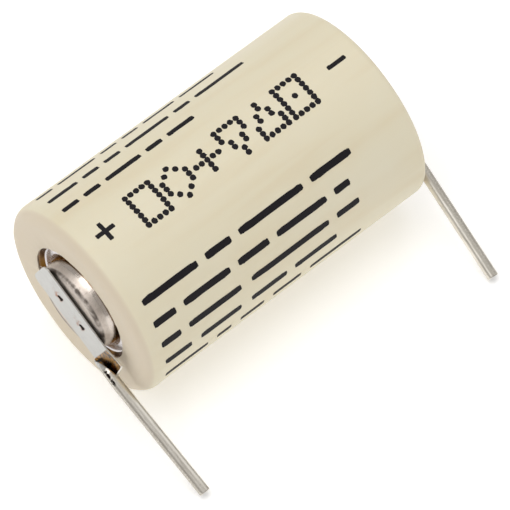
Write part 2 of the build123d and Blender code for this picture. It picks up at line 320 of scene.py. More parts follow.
@dataclass(frozen=True)
class SatinFilm:
    """Heat-shrunk film: cream, satin, with faint bands along the cell from the shrinking."""

    colour: Colour = (0.775, 0.710, 0.535)
    warm: Colour = (0.750, 0.665, 0.480)
    pale: Colour = (0.790, 0.740, 0.585)
    # painted shade of the folded ends, darker and browner than the barrel
    shaded_fold: Colour = (0.695, 0.605, 0.470)
    roughness: float = 0.46

    def make(self, name: str) -> Material:
        """Builds the material: bands and clouds in the colour, fine orange peel in the bump.

        Args:
            name: the material's name.

        Returns:
            The material.
        """
        board = Board(name)
        bands = board.noise(0.55, 3.0, (0.10, 1.0, 1.0), 0.4)
        clouds = board.noise(0.16, 2.0)
        shaded_fold_mask = board.attribute("shaded_fold")
        body = board.layers(
            self.colour,
            (bands.step(0.42, 0.75), self.warm),
            (clouds.step(0.45, 0.80) * 0.6, self.pale),
            # painted shade: the folded ends are darker and browner than the barrel
            (shaded_fold_mask, self.shaded_fold),
        )
        peel = board.noise(9.0, 3.0)
        grain = board.noise(1.6, 2.0, (0.25, 1.0, 1.0))
        height = peel * 0.35 + grain * 0.65
        inputs = {
            "Base Color": body,
            "Roughness": self.roughness + (peel - 0.5) * 0.12 + shaded_fold_mask * 0.08,
            "Specular IOR Level": 0.42,
            "Subsurface Weight": 0.06,
            "Subsurface Radius": (1.0, 0.8, 0.5),
            "Subsurface Scale": 0.2 * MM,
            "Normal": board.bump(height, 0.22, 0.02),
        }
        return board.principled(inputs)


@dataclass(frozen=True)
class Metal:
    """Drawn, rolled or plated metal with a grain and fine scratches."""

    colour: Colour
    shade: Colour
    roughness: float
    grain: float = 6.0
    stretch: tuple[float, float, float] = EVEN
    scratch: float = 0.3
    mottle: float = 0.5

    def make(self, name: str) -> Material:
        """Builds the material: mottled tone, streaked roughness and scratched bump.

        Args:
            name: the material's name.

        Returns:
            The material.
        """
        board = Board(name)
        streaks = board.noise(self.grain, 4.0, self.stretch)
        clouds = board.noise(0.9, 3.0, distortion=0.6)
        lines = board.hairlines(board.noise(2.2, 6.0, distortion=2.5), 0.020)
        tone = board.layers(
            self.colour,
            (clouds.step(0.40, 0.72) * self.mottle, self.shade),
            (lines * self.scratch, self.shade),
        )
        inputs = {
            "Base Color": tone,
            "Metallic": 1.0,
            "Roughness": self.roughness + (streaks - 0.5) * 0.22 + clouds * 0.10 + lines * 0.12,
            "Normal": board.bump(streaks * 0.6 + lines * self.scratch, 0.25, 0.006),
        }
        return board.principled(inputs)


@dataclass(frozen=True)
class Nickel:
    """Bright nickel plate: mirror-like down in the groove, satin and scratched on top.

    Heights are along the cell and radii from its axis, in millimetres. Each pair is where a
    change begins and where it is complete.
    """

    colour: Colour = (0.660, 0.590, 0.530)
    shade: Colour = (0.500, 0.430, 0.375)
    bright: Colour = (0.640, 0.615, 0.630)
    painted_reflection: Colour = (0.150, 0.070, 0.010)
    dark_reflection: Colour = (0.075, 0.058, 0.048)
    satin: float = 0.47
    mirror: float = 0.16
    worn_height: tuple[float, float] = (11.75, 12.1)
    wall_foot: tuple[float, float] = (11.34, 11.40)
    wall_head: tuple[float, float] = (11.66, 11.56)
    wall_radius: tuple[float, float] = (4.0, 4.1)
    groove_radius: tuple[float, float] = (3.40, 3.52)
    rim_height: tuple[float, float] = (12.24, 12.36)
    rim_radius: tuple[float, float] = (2.50, 2.98)

    def make(self, name: str) -> Material:
        """Builds the material: the height along the cell tells the worn top from the groove.

        Args:
            name: the material's name.

        Returns:
            The material.
        """
        board = Board(name)
        height = abs(board.axis(0))
        ring = board.ring()
        top = height.step(*self.worn_height)
        low = height.step(*self.wall_head) + ring.step(*self.wall_radius)
        wall = height.step(*self.wall_foot) * low
        clouds = board.noise(1.1, 3.0, distortion=0.8)
        arcs = board.hairlines(board.noise(1.4, 5.0, (1.0, 1.6, 0.7), 1.8), 0.022)
        fine = board.noise(14.0, 4.0, (1.0, 0.5, 1.4))
        rim = (ring + (fine - 0.5) * 0.35).step(*self.rim_radius) * height.step(*self.rim_height)
        tone = board.layers(
            self.colour,
            (clouds.step(0.45, 0.75) * 0.55, self.shade),
            ((1.0 - top) * ring.step(*self.groove_radius), self.bright),
            # painted shade: the brown reflection of the film's shadowed lip, laid on the groove's
            # lower wall
            (wall * clouds.step(0.30, 0.42) * 0.95, self.painted_reflection),
            (arcs * top * 0.55, self.shade),
            # painted reflection: a dark, patchy band round the boss's rounded edge
            (rim * clouds.step(0.22, 0.60) * 0.9, self.dark_reflection),
        )
        rough = self.mirror + top * (self.satin - self.mirror) + (fine - 0.5) * 0.10 * top
        inputs = {
            "Base Color": tone,
            "Metallic": 1.0,
            "Roughness": rough + arcs * top * 0.16,
            "Normal": board.bump(fine * 0.5 + arcs * 0.8, 0.22, 0.006),
        }
        return board.principled(inputs)


@dataclass(frozen=True)
class Strip:
    """Tin-plated strip: dull where flat, painted shade on the pin's side, painted gold reflection
    and shade in the funnel.
    """

    colour: Colour = (0.550, 0.550, 0.535)
    shade: Colour = (0.400, 0.390, 0.370)
    pin: Colour = (0.790, 0.750, 0.680)
    pin_shade: Colour = (0.600, 0.560, 0.490)
    pin_side_shade: Colour = (0.400, 0.370, 0.320)
    # painted reflection inside the funnel
    gold_reflection: Colour = (0.380, 0.190, 0.035)
    # burnt weld char, and painted shade in the funnel and the seam
    burn_and_shade: Colour = (0.012, 0.006, 0.005)
    rust: Colour = (0.400, 0.200, 0.130)
    roughness: float = 0.40

    def make(self, name: str) -> Material:
        """Builds the material from the marks stored on the stamping.

        Args:
            name: the material's name.

        Returns:
            The material.
        """
        board = Board(name)
        rolled, shaded_side, seam_shadow, weld, char, hollow = map(
            board.attribute, ("rolled", "shaded_side", "seam_shadow", "weld", "char", "hollow")
        )
        clouds = board.noise(1.6, 4.0, distortion=0.5)
        pits = board.noise(11.0, 4.0)
        drawn = board.noise(5.0, 4.0, (1.0, 0.10, 0.10))
        painted_reflection = board.noise(2.2, 5.0, distortion=0.8)
        crinkle = board.noise(5.5, 2.0, distortion=1.0)
        rust = board.noise(4.5, 3.0, distortion=0.8)
        tone = board.layers(
            self.colour,
            (clouds.step(0.42, 0.78) * 0.25, self.shade),
            (rolled, self.pin),
            (drawn.step(0.48, 0.64) * rolled * 0.6, self.pin_shade),
            # painted shade: a darker, mottled band down one side of the rolled pin
            (shaded_side * pits.step(0.15, 0.62) * 0.9, self.pin_side_shade),
            # painted reflection and painted shade: gold and near-black patches inside the funnel
            (hollow * painted_reflection.step(0.66, 0.44), self.gold_reflection),
            (hollow * painted_reflection.step(0.43, 0.60) * 0.95, self.burn_and_shade),
            # painted shadow: a dark crinkled line in the seam where the far wing's edge meets the
            # pin
            (seam_shadow * crinkle.step(0.40, 0.50), self.burn_and_shade),
            (weld * rust.step(0.36, 0.50) * 0.9, self.rust),
            (char.step(0.25, 0.55), self.burn_and_shade),
        )
        rough = self.roughness + (pits - 0.5) * 0.14 - rolled * 0.10 - hollow * 0.10
        inputs = {
            "Base Color": tone,
            "Metallic": 1.0,
            "Roughness": rough + char * 0.3,
            "Normal": board.bump(pits * 0.4 + drawn * 0.4 + painted_reflection * hollow, 0.35, 0.012),
        }
        return board.principled(inputs)


@dataclass(frozen=True)
class Pressed:
    """Non-metal stock: moulded polymer, film, cloth, board or pressed powder."""

    colour: Colour
    shade: Colour
    roughness: float
    grain: float
    stretch: tuple[float, float, float] = EVEN
    relief: float = 0.02
    specular: float = 0.4

    def make(self, name: str) -> Material:
        """Builds the material: two scales of grain in the tone, the finer one in the bump.

        Args:
            name: the material's name.

        Returns:
            The material.
        """
        board = Board(name)
        grain = board.noise(self.grain, 5.0, self.stretch, 0.3)
        clouds = board.noise(self.grain * 0.15, 3.0)
        tone = board.layers(
            self.colour,
            (grain.step(0.35, 0.70) * 0.7, self.shade),
            (clouds.step(0.45, 0.75) * 0.35, self.shade),
        )
        inputs = {
            "Base Color": tone,
            "Roughness": self.roughness + (grain - 0.5) * 0.2,
            "Specular IOR Level": self.specular,
            "Normal": board.bump(grain, 0.5, self.relief),
        }
        return board.principled(inputs)


FINISHES: dict[Slot, Any] = {
    Slot.SLEEVE: SatinFilm(),
    Slot.CAN: Nickel(),
    Slot.STRIP: Strip(),
    Slot.WELD: Metal((0.42, 0.38, 0.34), (0.16, 0.11, 0.08), 0.42, 8.0, mottle=0.9),
    Slot.LID: Metal((0.56, 0.55, 0.53), (0.40, 0.39, 0.38), 0.30, 9.0, (1.0, 0.2, 1.0)),
    Slot.GASKET: Pressed((0.035, 0.040, 0.045), (0.060, 0.065, 0.070), 0.34, 5.0, relief=0.004),
    Slot.FIBRE: Pressed((0.58, 0.52, 0.38), (0.42, 0.36, 0.24), 0.85, 7.0, (0.3, 1.0, 1.0)),
    Slot.CATHODE: Pressed((0.022, 0.022, 0.024), (0.045, 0.044, 0.043), 0.82, 10.0),
    Slot.SEPARATOR: Pressed((0.84, 0.84, 0.81), (0.70, 0.70, 0.68), 0.92, 9.0, (2.2, 0.6, 1.0)),
    Slot.LITHIUM: Metal((0.62, 0.62, 0.64), (0.40, 0.40, 0.43), 0.44, 3.0, (0.15, 1.0, 1.0)),
    Slot.INSULATOR: Pressed((0.76, 0.76, 0.71), (0.66, 0.66, 0.60), 0.48, 4.0, relief=0.006),
    Slot.COLLECTOR: Metal((0.57, 0.57, 0.56), (0.42, 0.41, 0.40), 0.34, 7.0, (0.2, 1.0, 1.0)),
    Slot.INK: Pressed(
        (0.006, 0.005, 0.007), (0.014, 0.011, 0.015), 0.60, 12.0, relief=0.002, specular=0.2
    ),
}


# ---------------- mesh making
def unit(vectors: Array) -> Array:
    """Vectors of length one: each divided by its own length."""
    return vectors / np.maximum(np.linalg.norm(vectors, axis=-1, keepdims=True), 1e-12)


def smooth(value: Array, low: float, high: float) -> Array:
    """Smoothstep: 3t^2 - 2t^3 of t, the value's share of the way from low to high."""
    t = np.clip((value - low) / (high - low), 0.0, 1.0)
    return t * t * (3.0 - 2.0 * t)


def bell(value: Array, centre: float, width: float) -> Array:
    """Gaussian bell of height one: e to the minus half the squared distance in widths."""
    return np.exp(-0.5 * ((value - centre) / width) ** 2)


def band(value: Array, rise: float, full: float, fade: float, end: float) -> Array:
    """Flat-topped hill: a smoothstep up from rise to full times one down from fade to end."""
    return smooth(value, rise, full) * (1.0 - smooth(value, fade, end))


def circle(count: int) -> Array:
    """Angles of points spaced evenly round a circle: the nth at n / count of a turn."""
    return np.linspace(0.0, math.tau, count, endpoint=False)


def ripple(angle: Array, seed: int, waves: Sequence[int]) -> Array:
    """Seeded waviness round a circle: a sum of cosines of whole wave counts.

    Args:
        angle: angles in radians.
        seed: seed of the cosines' sizes and phases.
        waves: their wave counts.

    Returns:
        The sum over the sizes' total, so that it stays between -1 and 1.
    """
    rng = np.random.default_rng(seed)
    phases = rng.uniform(0.0, math.tau, len(waves))
    sizes = rng.uniform(0.5, 1.0, len(waves))
    total = sum(
        size * np.cos(count * angle + phase) for count, phase, size in zip(waves, phases, sizes)
    )
    return total / sizes.sum()


def rough_line(places: Array, seed: int, wavelength: float) -> Array:
    """Seeded jagged line: random values every wavelength, joined by straight runs.

    Args:
        places: distances at which it is wanted.
        seed: seed of the values.
        wavelength: distance between them.

    Returns:
        The line, between -1 and 1.
    """
    rng = np.random.default_rng(seed)
    knots = np.arange(places.min() - wavelength, places.max() + 2 * wavelength, wavelength)
    return np.interp(places, knots, rng.uniform(-1.0, 1.0, len(knots)))


def grid_quads(rows: int, columns: int, wrap_rows: bool, wrap_columns: bool) -> Array:
    """Quads that join neighbours of a grid stored row by row.

    Args:
        rows: number of rows.
        columns: number of points in a row.
        wrap_rows: join the last row to the first.
        wrap_columns: join the last column to the first.

    Returns:
        The quads' corner numbers.
    """
    down, along = np.meshgrid(
        np.arange(rows if wrap_rows else rows - 1),
        np.arange(columns if wrap_columns else columns - 1),
        indexing="ij",
    )
    below, beside = (down + 1) % rows, (along + 1) % columns
    upper = [down * columns + along, down * columns + beside]
    lower = [below * columns + beside, below * columns + along]
    return np.stack(upper + lower, axis=-1).reshape(-1, 4)


def show(name: str, data: Any) -> Object:
    """Adds an object to the scene.

    Args:
        name: its name.
        data: the mesh, lamp or camera that it holds.

    Returns:
        The object.
    """
    thing = bpy.data.objects.new(name, data)
    bpy.context.scene.collection.objects.link(thing)
    return thing


def add_piece(
    name: str,
    slot: Slot,
    points: Array,
    faces: Array,
    marks: Mapping[str, Array] | None = None,
    crease: float = 40.0,
) -> Object:
    """Makes a mesh object of the cell, closes its seams and poles, and dresses it.

    Args:
        name: the piece's name.
        slot: the finish it takes.
        points: its points in millimetres.
        faces: its faces' corner numbers, all of one length.
        marks: numbers stored at its points, for its material.
        crease: angle in degrees past which an edge stays sharp.

    Returns:
        The object, riding on the cell.
    """
    mesh = bpy.data.meshes.new(name)
    mesh.from_pydata((points.reshape(-1, 3) * MM).tolist(), [], faces.tolist())
    for mark, values in (marks or {}).items():
        stored = mesh.attributes.new(mark, "FLOAT", "POINT")
        stored.data.foreach_set("value", values.reshape(-1).astype(np.float32))
    work = bmesh.new()
    work.from_mesh(mesh)
    bmesh.ops.remove_doubles(work, verts=work.verts, dist=MERGE)
    bmesh.ops.dissolve_degenerate(work, edges=work.edges, dist=SLIVER)
    bmesh.ops.recalc_face_normals(work, faces=work.faces)
    work.to_mesh(mesh)
    work.free()
    mesh.polygons.foreach_set("use_smooth", np.ones(len(mesh.polygons), bool))
    mesh.set_sharp_from_angle(angle=math.radians(crease))
    mesh.update()
    mesh.materials.append(WARDROBE.material(slot))
    piece = show(name, mesh)
    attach(piece, BODY)
    return piece


class Wardrobe:
    """Makes each finish once and puts it on the frame's own nodes."""

    def __init__(self) -> None:
        """Starts with nothing made."""
        self.made: dict[Slot, Material] = {}

    def material(self, slot: Slot) -> Material:
        """Makes the slot's material the first time it is asked for.

        Args:
            slot: the material slot.

        Returns:
            Its material.
        """
        if slot not in self.made:
            self.made[slot] = FINISHES[slot].make(slot.value)
        return self.made[slot]

    def dress_nodes(self) -> None:
        """Gives every node of the frame the finish that the record names for it."""
        for entry in frame["record"]["subparts"]:
            node = frame["nodes"][entry["node"]]
            node.data.materials.clear()
            node.data.materials.append(self.material(Slot(entry["material_slot"])))
            LOG.info("node %s wears %s", entry["node"], entry["material_slot"])


WARDROBE = Wardrobe()


# ---------------- turned pieces
def rounded_path(outline: Sequence[Corner], step: float) -> Array:
    """Points along a polyline whose corners are rounded.

    At a corner the arc touches both runs at radius / tan(half the angle between them), and its
    centre lies on their bisector at radius / sin(that half angle).

    Args:
        outline: (height, radius, rounding) of each corner, in millimetres.
        step: the longest distance between points.

    Returns:
        The (height, radius) points.
    """
    spots = np.array([corner[:2] for corner in outline])
    bends = [corner[2] for corner in outline]
    runs = [spots[:1]]
    for before, here, after, bend in zip(spots[:-2], spots[1:-1], spots[2:], bends[1:-1]):
        if bend <= 0.0:
            runs.append(here[None])
            continue
        back, on = unit(before - here), unit(after - here)
        half = math.acos(float(np.clip(back @ on, -1.0, 1.0))) / 2
        reach = bend / math.tan(half)
        centre = here + unit(back + on) * bend / math.sin(half)
        ends = (here + back * reach - centre, here + on * reach - centre)
        first, last = (math.atan2(end[1], end[0]) for end in ends)
        turn = (last - first + math.pi) % math.tau - math.pi
        count = max(ARC_RUNS, int(abs(turn) * bend / step))
        angles = first + turn * np.linspace(0.0, 1.0, count + 1)
        runs.append(centre + bend * np.stack([np.cos(angles), np.sin(angles)], axis=-1))
    runs.append(spots[-1:])
    joined = np.concatenate(runs)
    lengths = np.linalg.norm(np.diff(joined, axis=0), axis=1)
    filled = [
        np.linspace(start, end, max(1, math.ceil(length / step)), endpoint=False)
        for start, end, length in zip(joined[:-1], joined[1:], lengths)
    ]
    return np.concatenate([*filled, joined[-1:]])


def revolved(path: Array, spokes: int, side: int) -> Array:
    """Turns a (height, radius) path about the cell's axis.

    A point at angle a is (side * height, radius * cos a, radius * sin a).

    Args:
        path: (height, radius) points, or one such path for each spoke.
        spokes: number of points round the axis.
        side: 1 or -1, the end that heights point to.

    Returns:
        A grid of points, one row for each point of the path.
    """
    angles = circle(spokes)
    heights = np.broadcast_to(side * path[..., 0].reshape(len(path), -1), (len(path), spokes))
    radii = path[..., 1].reshape(len(path), -1)
    return np.stack([heights, radii * np.cos(angles), radii * np.sin(angles)], axis=-1)


@dataclass
class Turned:
    """A piece of revolution with softly rounded edges, standing for one node of the frame."""

    node: str
    slot: Slot
    side: int
    outline: Sequence[Corner]
    spokes: int = 160
    step: float = 0.20

    def build(self) -> Object:
        """Revolves the closed outline and hides the plain node.

        Returns:
            The object.
        """
        path = rounded_path([*self.outline, self.outline[0]], self.step)[:-1]
        points = revolved(path, self.spokes, self.side)
        faces = grid_quads(len(path), self.spokes, True, True)
        piece = add_piece(f"{self.node}_form", self.slot, points, faces)
        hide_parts(self.node)
        return piece


@dataclass
class TurnedSet:
    """The can, lid, bead, gasket, rivet and washer, with the edges that drawing leaves.

    A pair is a radius and a thickness. The head adds its edge's rounding, and the fibre washer
    has its inner and outer radius first.
    """

    can_radius: float = 7.12
    wall: float = 0.3
    mouth: float = 11.7
    rim: float = 0.18
    face: float = 11.87
    dish: float = 0.13
    shoulder: float = 0.88
    face_inner: float = 4.35
    groove: float = 11.28
    groove_radius: float = 4.15
    boss: float = 12.5
    boss_radius: float = 3.06
    boss_foot: float = 3.50
    boss_edge: float = 0.26
    lid: float = 0.4
    lid_hole: float = 1.6
    weld_leg: float = 0.1
    slip: float = 0.01
    flange: tuple[float, float] = (2.75, 0.25)
    under_flange: tuple[float, float] = (2.6, 0.35)
    head: tuple[float, float, float] = (2.4, 0.55, 0.3)
    shank: float = 1.0
    washer: float = 0.3
    upset: tuple[float, float] = (1.45, 0.4)
    fibre: tuple[float, float, float] = (2.8, 6.3, 0.18)

    def can(self) -> Turned:
        """The can's outline: wall, shoulder, face, groove and boss, then back along the inside.

        Inside, the shoulder is a straight slope that touches the middle of the rounding: its
        legs are (2 - root 2) times the inner rounding's radius.

        Returns:
            The piece.
        """
        radius, wall, mouth = self.can_radius, self.wall, self.mouth
        bore, low, turn = radius - wall, self.face - self.dish, self.shoulder
        slope = (turn - wall) * (2 - math.sqrt(2))
        outline = [
            (-mouth, bore + self.weld_leg, 0.0),
            (-mouth, radius - self.rim, 0.05),
            (-mouth + self.rim, radius, 0.1),
            (self.face, radius, turn),
            (self.face, radius - turn - 0.1, 0.0),
            (low, self.face_inner, 0.10),
            (self.groove, self.groove_radius, 0.18),
            (self.groove, self.boss_foot, 0.20),
            (self.boss, self.boss_radius, self.boss_edge),
            (self.boss, 0.0, 0.0),
            (self.boss - wall, 0.0, 0.0),
            (self.boss - wall, self.boss_radius - wall, 0.15),
            (self.groove - wall, self.boss_foot - wall, 0.1),
            (self.groove - wall, self.groove_radius + wall, 0.1),
            (low - wall, self.face_inner + wall, 0.1),
            (self.face - wall, bore - slope, 0.1),
            (self.face - wall - slope, bore, 0.1),
            (-mouth + self.weld_leg, bore, 0.0),
        ]
        return Turned("cell_can", Slot.CAN, -1, outline, spokes=200, step=0.30)

    def closures(self) -> list[Turned]:
        """The pieces that close the negative end, each a closed outline.

        Returns:
            The lid, its weld bead, the gasket, the rivet and the fibre washer.
        """
        mouth, leg, hole = self.mouth, self.weld_leg, self.lid_hole
        edge, seat = self.can_radius - self.wall - self.slip, mouth + self.flange[1]
        under, gap = mouth - self.lid, edge + self.slip / 2
        gasket_low = under - self.under_flange[1]
        washer_low = gasket_low - self.washer
        lowest = washer_low - self.upset[1]
        lid = [
            (under, hole, 0.0),
            (under, edge, 0.05),
            (mouth - leg, edge, 0.0),
            (mouth, edge - leg, 0.0),
            (mouth, hole, 0.04),
        ]
        bead = [
            (mouth - leg, gap, 0.0),
            (mouth, gap + leg, 0.0),
            (mouth + leg / 3, gap, 0.12),
            (mouth, gap - leg, 0.0),
        ]
        gasket = [
            (gasket_low, self.shank + self.slip, 0.0),
            (gasket_low, self.under_flange[0], 0.06),
            (under, self.under_flange[0], 0.06),
            (under, hole - self.slip, 0.0),
            (mouth, hole - self.slip, 0.0),
            (mouth, self.flange[0], 0.0),
            (seat, self.flange[0], 0.08),
            (seat, self.shank + self.slip, 0.0),
        ]
        head_radius, head_height, head_edge = self.head
        rivet = [
            (lowest, 0.0, 0.0),
            (lowest, self.upset[0], 0.12),
            (washer_low, self.upset[0], 0.10),
            (washer_low, self.shank, 0.0),
            (seat, self.shank, 0.0),
            (seat, head_radius, 0.06),
            (seat + head_height, head_radius, head_edge),
            (seat + head_height, 0.0, 0.0),
        ]
        inner, outer, thick = self.fibre
        fibre = [
            (mouth, inner, 0.0),
            (mouth, outer, 0.0),
            (mouth + thick, outer, 0.03),
            (mouth + thick, inner, 0.04),
        ]
        return [
            Turned("lid_plate", Slot.LID, 1, lid),
            Turned("lid_weld_bead", Slot.WELD, 1, bead, step=0.02),
            Turned("terminal_gasket", Slot.GASKET, 1, gasket),
            Turned("terminal_rivet", Slot.CAN, 1, rivet),
            Turned("fibre_washer", Slot.FIBRE, 1, fibre),
        ]

    def build(self) -> list[Object]:
        """Builds every turned piece."""
        return [piece.build() for piece in (self.can(), *self.closures())]


# ---------------- shrink sleeve
class Opening(Enum):
    """The sleeve's openings, in the order that distances from them are given."""

    POSITIVE = 0
    NEGATIVE = 1


@dataclass
class ShrinkSleeve:
    """Heat-shrunk film: a skin over the can that puckers where it folds over the ends.

    A pair is where a change begins and where it is complete, along the skin from an opening.
    """

    wall: float = 0.12
    shoulder: float = 1.01
    fold_turn: float = 0.47
    dish: float = 0.13
    face_inner: float = 4.35
    opening: float = 4.8
    spokes: int = 360
    step: float = 0.18
    bead: float = 0.010
    waviness: float = 0.010
    drift: float = 0.03  # how far the waviness turns with each millimetre, in radians
    barrel_from: tuple[float, float] = (3.0, 5.0)
    near_fold: tuple[float, float] = (2.75, 3.05)
    far_fold: tuple[float, float] = (2.1, 2.5)
    lip_thinning: float = 0.25

    # the opening that distances start at, seed, wave counts, then the middle, width and height
    # of the bell that the waves stand in, in millimetres
    PLEATS = (
        (Opening.POSITIVE, 11, (17, 23, 29, 38), 0.0, 0.9, 0.022),
        (Opening.NEGATIVE, 12, (19, 27, 33, 41), 0.0, 0.8, 0.026),
        (Opening.POSITIVE, 13, (9, 14, 21), 2.9, 0.55, 0.014),
    )
    LIPS = (
        (Opening.POSITIVE, 15, (2, 5, 11, 23), 0.0, 0.25, 0.05),
        (Opening.NEGATIVE, 16, (3, 4, 13, 26), 0.0, 0.25, -0.07),
    )
    # angle in degrees, distance along the skin, width in degrees, size in millimetres
    LUMPS = (
        (196.0, 3.2, 7.0, 0.030),
        (176.0, 3.4, 6.0, -0.022),
        (84.0, 3.1, 6.0, 0.028),
        (66.0, 3.4, 7.0, -0.020),
        (40.0, 3.2, 8.0, 0.026),
        (142.0, 3.0, 8.0, 0.012),
    )

    def __post_init__(self) -> None:
        """Takes the radius and length from the frame's own sleeve."""
        _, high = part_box("shrink_sleeve")
        self.radius = high[2] / MM
        self.half = high[0] / MM

    def skin(self) -> tuple[Array, Array]:
        """(height, radius) of the skin from the positive opening on, and the distances run.

        Returns:
            The path's points, and the distance along it at each of them.
        """
        turn = self.radius - self.shoulder - 0.1
        outline = [
            (self.half - self.dish, self.face_inner, 0.0),
            (self.half, turn, 3.0),
            (self.half, self.radius, self.shoulder),
            (-self.half, self.radius, self.fold_turn),
            (-self.half, self.opening, 0.0),
        ]
        path = rounded_path(outline, self.step)
        return path, np.append(0.0, np.cumsum(np.linalg.norm(np.diff(path, axis=0), axis=1)))

    @staticmethod
    def waved(table: Sequence[Any], runs: tuple[Array, Array], angle: Array) -> Array:
        """A sum of ripples round the skin, each times a bell along it.

        Args:
            table: the ripples and their bells.
            runs: distances along the skin from the two openings.
            angle: angle round the cell's axis.

        Returns:
            The sum in millimetres.
        """
        return sum(
            ripple(angle, seed, waves) * bell(runs[opening.value], middle, width) * height
            for opening, seed, waves, middle, width, height in table
        )

    def lift(self, runs: tuple[Array, Array], angle: Array) -> Array:
        """How far the skin stands off its true form.

        Pleats are sums of cosines round the end faces, strongest at the cut edges. The
        positive shoulder has a low bead and a few soft lumps, which are products of two
        bells, and the barrel a slow waviness.

        Args:
            runs: distances along the skin from the two openings.
            angle: angle round the cell's axis.

        Returns:
            The lift along the skin's normal, in millimetres.
        """
        near = runs[Opening.POSITIVE.value]
        wave = ripple(angle + near * self.drift, 14, (3, 5, 8)) * smooth(near, *self.barrel_from)
        total = self.waved(self.PLEATS, runs, angle) + bell(near, 2.95, 0.10) * self.bead
        total += wave * self.waviness
        for turn, along, width, size in self.LUMPS:
            apart = np.abs((angle - math.radians(turn) + math.pi) % math.tau - math.pi)
            total += size * bell(apart, 0.0, math.radians(width)) * bell(near, along, 0.55)
        return total

    def build(self) -> Object:
        """Revolves the skin, lifts it, and closes it with an inner wall of the same film.

        Returns:
            The object.
        """
        path, run = self.skin()
        near, far = runs = run[:, None], run[-1] - run[:, None]
        angle = circle(self.spokes)[None, :]
        tangent = unit(np.gradient(path, axis=0))
        normal = np.stack([tangent[:, 1], -tangent[:, 0]], axis=-1)
        normal *= np.sign(normal[len(path) // 2, 1])
        lifted = self.lift(runs, angle)
        shift = tangent[:, None] * self.waved(self.LIPS, runs, angle)[..., None]
        outer = path[:, None] + normal[:, None] * lifted[..., None] - shift
        thin = self.wall * (1.0 - self.lip_thinning * bell(run, 0.0, 0.2))
        inner = (path - normal * thin[:, None])[:, None] - shift
        loop = np.concatenate([outer, inner[::-2]])
        flat = smooth(near, *self.near_fold) * smooth(far, *self.far_fold)
        # the folded ends, where the film's colour holds painted shade
        shaded_fold = np.broadcast_to(1.0 - flat, lifted.shape)
        marks = {"shaded_fold": np.concatenate([shaded_fold, shaded_fold[::-2]])}
        points = revolved(loop, self.spokes, -1)
        faces = grid_quads(len(loop), self.spokes, True, True)
        piece = add_piece("shrink_sleeve_film", Slot.SLEEVE, points, faces, marks, crease=50.0)
        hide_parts("shrink_sleeve")
        return piece

    def on_skin(self, along: Array, angle: Array, proud: float) -> Array:
        """Points just off the barrel.

        Args:
            along: place along X in millimetres.
            angle: angle round the axis in radians.
            proud: distance off the skin in millimetres.

        Returns:
            The points: (x, r cos a, r sin a) with r the skin's own radius there.
        """
        path, run = self.skin()
        middle = np.argmin(np.abs(path[:, 0]))
        near = run[middle] + path[middle, 0] + along
        radius = self.radius + self.lift((near, run[-1] - near), angle) + proud
        return np.stack([along, radius * np.cos(angle), radius * np.sin(angle)], axis=-1)


